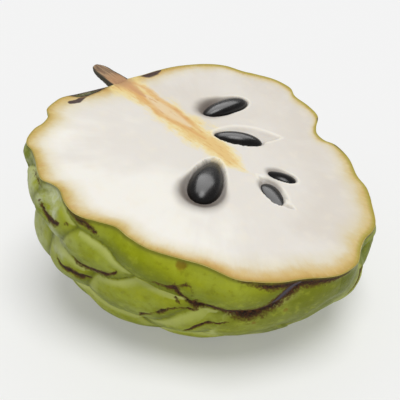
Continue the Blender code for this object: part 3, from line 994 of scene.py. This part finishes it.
class Nodes:
    """Short ways to add and link the nodes of one material."""

    def __init__(self, name):
        self.material = bpy.data.materials.new(name)
        self.material.use_nodes = True
        self.tree = self.material.node_tree
        self.shader = self.tree.nodes["Principled BSDF"]
        self.colour = None

    def feed(self, socket, value):
        """Set a socket to a number, a colour or another node's output."""
        if isinstance(value, bpy.types.NodeSocket):
            self.tree.links.new(value, socket)
        elif isinstance(value, tuple) and len(value) == 3 and socket.type == "RGBA":
            socket.default_value = (*value, 1.0)
        else:
            socket.default_value = value

    def node(self, kind, inputs, output=0, **settings):
        """A node of a kind, given its inputs by name or place. Gives back one of its outputs."""
        node = self.tree.nodes.new("ShaderNode" + kind)
        for name, value in settings.items():
            setattr(node, name, value)
        for place, value in inputs.items():
            self.feed(node.inputs[place], value)
        return node.outputs[output]

    def attr(self, name, output="Fac"):
        """A vertex mark."""
        return self.node("Attribute", {}, output, attribute_name=name)

    def math(self, operation, *values):
        """Arithmetic on numbers."""
        return self.node("Math", dict(enumerate(values)), operation=operation)

    def add(self, first, second):
        """A sum."""
        return self.math("ADD", first, second)

    def times(self, first, second):
        """A product."""
        return self.math("MULTIPLY", first, second)

    def shake(self, value, *noises):
        """A value with noises added, each even round 0 and scaled by the number it comes with."""
        for noise, size in noises:
            value = self.add(value, self.times(self.math("SUBTRACT", noise, 0.5), size))
        return value

    def stretch(self, vector, factors):
        """A vector stretched along its axes."""
        return self.node("VectorMath", {0: vector, 1: factors}, operation="MULTIPLY")

    def noise(self, vector, scale, detail=3.0, roughness=0.55):
        """Noise from 0 to 1."""
        return self.node("TexNoise", {"Vector": vector, "Scale": scale, "Detail": detail,
                                      "Roughness": roughness})

    def step(self, value, low, high, start=0.0, end=1.0):
        """A smooth step from start at low to end at high."""
        return self.node("MapRange", dict(enumerate((value, low, high, start, end))),
                         interpolation_type="SMOOTHSTEP")

    def bump(self, height, distance, strength):
        """A normal from a height."""
        return self.node("Bump", {"Height": height, "Distance": distance, "Strength": strength})

    def mix(self, share, first, second):
        """A colour between two, each another node's output or a screen colour from 0 to 255."""
        first, second = (srgb(*colour) if isinstance(colour, tuple) else colour
                         for colour in (first, second))
        return self.node("Mix", {0: share, 6: first, 7: second}, 2, data_type="RGBA")

    def coat(self, share, shade):
        """Lay a share of a shade over the colour so far."""
        self.colour = self.mix(share, self.colour, shade)

    def lay(self, shade, value, none, full, most=1.0):
        """Lay a shade over the colour so far: none of it at one value, the most at another."""
        self.coat(self.step(value, none, full, 0.0, most), shade)

    def set(self, **values):
        """Feed the shader's sockets, named with underscores for spaces."""
        for name, value in values.items():
            self.feed(self.shader.inputs[name.replace("_", " ")], value)
        return self.material


def srgb(*channels):
    """A screen colour from 0 to 255 as linear light."""
    shares = [value / 255.0 for value in channels]
    return tuple(share / 12.92 if share < 0.04045 else ((share + 0.055) / 1.055) ** 2.4
                 for share in shares)


def paint_scales(n, place, blotch, grain):
    """Green scales with painted light and shade, bloom with painted glints, blotches and specks."""
    free = n.shake(n.attr("free"), (blotch, 1.2))
    mottle = n.noise(place, 0.45)
    speck = n.times(n.step(n.noise(place, 1.6, 2.0), 0.68, 0.78), n.step(mottle, 0.45, 0.6))
    wax_and_glint = n.mix(n.step(n.attr("bloom"), 0.5, 0.9), (168, 178, 78), (196, 202, 164))
    n.colour = n.mix(n.step(n.noise(place, 0.06), 0.35, 0.65), (135, 144, 8), (151, 158, 22))
    # Painted light on the side of each scale away from its free edge, and painted shade at that
    # edge.
    n.lay((170, 176, 46), free, 0.4, -1.0, 0.8)
    n.lay((104, 116, 2), free, 0.0, 1.1, 0.8)
    # Painted shade on the low parts of the near side.
    n.coat(n.attr("shaded"), (98, 106, 6))
    # Pale waxy bloom, laid on partly as a painted highlight.
    n.coat(n.times(n.attr("bloom"), n.step(blotch, 0.3, 0.65)), wax_and_glint)
    n.lay((158, 166, 44), blotch, 0.55, 0.8, 0.4)
    n.lay((96, 104, 16), grain, 0.6, 0.8, 0.3)
    n.lay((112, 114, 6), mottle, 0.52, 0.72, 0.4)
    n.lay((174, 182, 50), mottle, 0.48, 0.3, 0.35)
    n.coat(n.times(speck, 0.35), (104, 88, 22))


def paint_seams(n, grain):
    """Painted shade in seam valleys and painted highlight on ridges. Gives back where stained."""
    gap = n.shake(n.attr("gap"), (grain, 0.5))
    under = n.attr("side")
    stain = n.attr("stain")
    ridge_highlight = n.times(n.step(gap, 0.3, 0.9), n.step(gap, 1.0, 3.0, 1.0, 0.0))
    # Painted shade along the valleys of the seams.
    n.lay((90, 98, 4), gap, n.math("MULTIPLY_ADD", under, 0.8, 1.5), 0.0, 0.45)
    n.lay((66, 62, 18), gap, n.math("MULTIPLY_ADD", under, -0.15, 0.4), 0.0, 0.3)
    # Painted highlight along the ridge at the top edge of the lower scale.
    n.coat(n.times(ridge_highlight, n.step(under, -0.1, -0.8, 0.0, 0.8)), (190, 197, 112))
    reach = n.times(n.math("POWER", stain, 2.0), n.math("MULTIPLY_ADD", under, -0.75, 1.05))
    smear = n.step(n.math("DIVIDE", gap, n.add(reach, 0.12)), 0.5, 1.0, 1.0, 0.0)
    return n.times(smear, n.step(stain, 0.15, 0.45))


def skin_material():
    """Waxy green scales with dark brown seams and russet cracks."""
    n = Nodes("custard_apple_skin")
    place = n.attr("place", "Vector")
    blotch = n.noise(place, 0.25, 4.0)
    grain = n.noise(place, 1.6, 5.0, 0.6)
    fine = n.noise(place, 5.0, 4.0, 0.6)
    paint_scales(n, place, blotch, grain)
    smear = paint_seams(n, grain)
    crack = n.attr("crack")
    crack = n.shake(crack, (grain, n.step(crack, 0.0, 0.3, 0.0, 1.3)))
    russet = n.step(crack, 0.14, 0.5)
    dark = n.step(crack, 0.44, 0.74)
    brown = n.mix(n.step(grain, 0.42, 0.62), (36, 24, 24), (90, 58, 32))
    spot = n.shake(n.attr("spot"), (grain, 0.8))
    n.coat(n.times(russet, 0.75), (92, 68, 28))
    n.coat(n.math("MAXIMUM", dark, smear), brown)
    # Painted grey highlight along the fold in the widest crack.
    n.lay((96, 92, 102), n.attr("fold"), 0.3, 0.9, 0.75)
    n.lay((130, 98, 14), spot, 0.1, 0.9, 0.75)
    n.lay((96, 92, 30), n.attr("rim"), 0.7, 0.15, 0.6)
    height = n.add(n.times(grain, 0.5), n.times(fine, 0.25))
    height = n.math("SUBTRACT", height, n.times(dark, 0.4))
    rough = n.add(n.step(grain, 0.3, 0.7, 0.36, 0.48), n.times(russet, 0.3))
    return n.set(Base_Color=n.colour, Roughness=rough, Normal=n.bump(height, 0.00035, 0.45),
                 Subsurface_Weight=0.05, Subsurface_Radius=(0.002, 0.0025, 0.0006),
                 Subsurface_Scale=1.0, Specular_IOR_Level=0.1)


def paint_rim(n, soft, fibre, tan):
    """The tan edge: its paling band, its orange line, loose fibres, and the skin's thin line."""
    edge = n.attr("rim")
    rim = n.shake(edge, (soft, 2.4), (fibre, 0.8))
    outer = n.mix(n.attr("ochre"), (208, 185, 120), (207, 171, 100))
    inner = n.mix(n.attr("ochre"), (190, 164, 88), (184, 146, 78))
    fleck = n.times(n.step(fibre, 0.5, 0.68), n.step(rim, 1.0, 3.6, 0.6, 0.0))
    pale = n.times(n.step(fibre, 0.48, 0.34), n.step(rim, 1.5, 4.0, 0.22, 0.0))
    far = n.times(n.step(edge, 0.2, 1.9, 0.8, 0.0), n.step(n.attr("tone"), 0.55, 0.8))
    bare = n.step(n.attr("wood"), 0.1, 0.5, 0.75, 0.0)
    n.lay((218, 205, 164), tan, 1.6, 0.15, 0.8)
    n.lay(outer, tan, 0.9, 0.1, 0.9)
    n.lay(inner, rim, 2.2, 0.3, 0.75)
    n.coat(fleck, (192, 150, 84))
    n.coat(pale, (232, 220, 172))
    n.coat(far, (166, 158, 66))
    n.coat(n.times(n.step(edge, 0.1, 0.75, 1.0, 0.0), bare), (150, 136, 56))


def paint_core(n, soft, grain, along):
    """The fuzzy core with its pith and veins, and the wood that runs in from the stalk."""
    core = n.shake(n.attr("core"), (along, 1.0), (soft, 2.0), (grain, 0.4))
    ragged = n.math("MULTIPLY_ADD", along, 1.2, n.times(soft, 1.4))
    pith, vein = n.attr("pith"), n.attr("vein")
    pith_share = n.times(n.step(n.add(pith, ragged), 1.4, 2.2, 0.0, 0.8), n.step(pith, 0.0, 0.3))
    vein_share = n.times(n.step(n.add(vein, ragged), 1.3, 2.4, 0.0, 0.65), n.step(vein, 0.0, 0.4))
    rust = n.times(n.step(core, 0.1, 0.7), n.step(along, 0.52, 0.7, 0.0, 0.7))
    wood = n.shake(n.attr("wood"), (along, 0.5))
    wood_hue = n.mix(n.step(n.attr("rim"), 0.0, 4.5), (176, 134, 100), (206, 158, 114))
    n.lay((238, 219, 154), core, -0.5, 0.3, 0.8)
    n.lay((226, 192, 128), core, -0.05, 0.8, 0.9)
    n.coat(pith_share, (230, 208, 174))
    n.coat(vein_share, (216, 162, 100))
    n.coat(rust, (206, 152, 84))
    n.lay(wood_hue, wood, 0.2, 0.8, 0.85)


def paint_marks(n, grain, along):
    """Lips with painted highlight, painted shade round seeds, and the bark-like flap by the stalk.
    """
    flap = n.shake(n.attr("flap"), (grain, 0.8))
    bark = n.mix(n.step(along, 0.4, 0.6), (88, 92, 58), (124, 124, 104))
    # Pale raised lips along the hollows' edges: a painted highlight.
    n.lay((250, 245, 230), n.attr("lip"), 0.2, 1.0, 0.45)
    # Painted shade in and round the hollows, darkest as a painted contact shadow where flesh meets
    # seed.
    n.coat(n.attr("shade"), (96, 84, 76))
    n.lay((150, 122, 70), flap, -1.1, -0.1, 0.75)
    n.lay(n.mix(n.step(flap, 0.2, 1.0), (52, 42, 44), bark), flap, -0.3, 0.1)


def flesh_material():
    """Moist cream flesh with a fibrous tan edge and a fuzzy orange core."""
    n = Nodes("custard_apple_flesh")
    place, fan = n.attr("place", "Vector"), n.attr("fan", "Vector")
    cloud = n.noise(place, 0.045)
    soft = n.noise(place, 0.16, 4.0)
    grain = n.noise(place, 1.1, 5.0, 0.6)
    streak = n.noise(fan, 0.16, 4.0, 0.6)
    fibre = n.noise(fan, 0.9, 4.0, 0.65)
    along = n.noise(n.stretch(place, (0.3, 1.4, 1.0)), 0.8, 5.0, 0.65)
    tan = n.shake(n.attr("tan"), (fibre, 0.3), (soft, 0.7))
    streaked = n.step(n.attr("tan"), 1.5, 5.0, 0.6, 0.12)
    tone = n.shake(n.attr("tone"), (cloud, 1.1), (streak, streaked))
    n.colour = n.mix(n.step(tone, 0.0, 0.5), (240, 237, 229), (227, 222, 214))
    n.lay((218, 211, 201), tone, 0.5, 1.1)
    n.lay((238, 230, 212), soft, 0.5, 0.75, 0.3)
    paint_rim(n, soft, fibre, tan)
    n.lay((70, 54, 58), n.shake(n.attr("bruise"), (grain, 0.3)), 0.15, 0.5, 0.95)
    paint_core(n, soft, grain, along)
    paint_marks(n, grain, along)
    height = n.add(n.times(grain, 0.3), n.times(along, 0.2))
    height = n.add(height, n.times(fibre, n.step(tan, 0.2, 1.0, 0.5, 0.05)))
    return n.set(Base_Color=n.colour, Roughness=0.42, Normal=n.bump(height, 0.00025, 0.35),
                 Subsurface_Weight=0.3, Subsurface_Radius=(0.003, 0.0025, 0.0018),
                 Subsurface_Scale=1.0, Specular_IOR_Level=0.15)


def seed_material():
    """A smooth glossy seed coat, nearly black."""
    n = Nodes("seed_coat")
    place = n.attr("place", "Vector")
    tone = n.noise(place, 0.35)
    colour = n.mix(n.step(tone, 0.35, 0.7), (4, 3, 3), (16, 10, 9))
    return n.set(Base_Color=colour, Roughness=n.step(tone, 0.3, 0.7, 0.25, 0.3),
                 Normal=n.bump(n.noise(place, 1.2), 0.00002, 0.1), Specular_IOR_Level=0.35)


def stalk_material():
    """Dark grey-green bark and tan bared wood with lengthwise grain."""
    n = Nodes("stalk_wood")
    place = n.attr("place", "Vector")
    grain = n.noise(n.stretch(place, (0.2, 1.8, 1.8)), 1.0, 5.0, 0.65)
    patch = n.noise(place, 0.5)
    wood = n.mix(n.step(grain, 0.35, 0.65), (104, 84, 68), (182, 152, 118))
    wood = n.mix(n.step(patch, 0.5, 0.7, 0.0, 0.4), wood, (160, 120, 90))
    wood = n.mix(n.step(n.attr("base"), 0.2, 1.0, 0.0, 0.65), wood, (194, 148, 108))
    bark = n.mix(grain, (36, 34, 32), (92, 84, 66))
    bark = n.mix(n.step(patch, 0.5, 0.7, 0.0, 0.5), bark, (66, 70, 46))
    edge = n.shake(n.attr("bark"), (grain, 0.5))
    colour = n.mix(n.step(edge, 0.2, 0.7), wood, bark)
    return n.set(Base_Color=colour, Roughness=0.75, Normal=n.bump(grain, 0.0003, 0.6),
                 Specular_IOR_Level=0.3)


# ---- the studio ----

def add_floor():
    """A plain pale floor."""
    corners = np.array([(-0.5, -0.5, 0.0), (0.5, -0.5, 0.0), (0.5, 0.5, 0.0), (-0.5, 0.5, 0.0)])
    paint = Nodes("studio_floor").set(
        Base_Color=FLOOR_SHADE, Roughness=0.9, Specular_IOR_Level=0.0,
        Emission_Color=WHITE, Emission_Strength=FLOOR_GLOW)
    floor = add_mesh("floor", corners * FLOOR_SIZE, [(0, 1, 2, 3)], [paint])
    floor.location.z = FLOOR_LEVEL


def add_sky():
    """An even white light from everywhere."""
    world = bpy.data.worlds.new("studio")
    world.use_nodes = True
    background = world.node_tree.nodes["Background"]
    background.inputs["Color"].default_value = (*WHITE, 1.0)
    background.inputs["Strength"].default_value = SKY_STRENGTH
    bpy.context.scene.world = world


def add_lamp(name, kind, power, direction):
    """A lamp that shines from a direction towards the middle of the scene."""
    lamp = bpy.data.objects.new(name, bpy.data.lights.new(name, kind))
    lamp.data.energy = power
    lamp.rotation_euler = Vector(direction).to_track_quat("Z", "Y").to_euler()
    bpy.context.scene.collection.objects.link(lamp)
    return lamp


def add_lamps(glossy):
    """The softbox, and a panel that only gleams on the glossy pieces."""
    softbox = add_lamp("softbox", "SUN", SOFTBOX_STRENGTH, SOFTBOX_DIRECTION)
    softbox.data.angle = SOFTBOX_SPREAD
    gleam = add_lamp("gleam", "AREA", GLEAM_POWER, GLEAM_DIRECTION)
    gleam.data.shape = "RECTANGLE"
    gleam.data.size, gleam.data.size_y = GLEAM_SIZE
    gleam.location = Vector(GLEAM_DIRECTION).normalized() * GLEAM_DISTANCE
    gleam.visible_diffuse = False
    gleam.light_linking.receiver_collection = glossy


def add_camera():
    """The camera, level from side to side and looking down on the half."""
    camera = bpy.data.objects.new("camera", bpy.data.cameras.new("camera"))
    camera.data.lens = CAMERA_LENS
    camera.data.clip_start = CAMERA_NEAREST
    camera.location = CAMERA_PLACE
    camera.rotation_euler = (CAMERA_PITCH, 0.0, 0.0)
    bpy.context.scene.collection.objects.link(camera)
    bpy.context.scene.camera = camera


def main():
    """Dress the half fruit and set up the studio."""
    fruit = add_fruit([skin_material(), flesh_material()])
    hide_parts("fruit_half")
    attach(fruit, "root")
    coat = seed_material()
    glossy = bpy.data.collections.new("glossy")
    for seed in SEEDS:
        piece = add_seed(seed, coat)
        if seed[0] != SHADED_SEED:
            glossy.objects.link(piece)
        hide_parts(seed[0])
        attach(piece, "root")
    stalk = add_stalk(stalk_material())
    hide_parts("stalk")
    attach(stalk, "root")
    bpy.context.scene.view_settings.view_transform = "Standard"
    add_floor()
    add_sky()
    add_lamps(glossy)
    add_camera()


main()
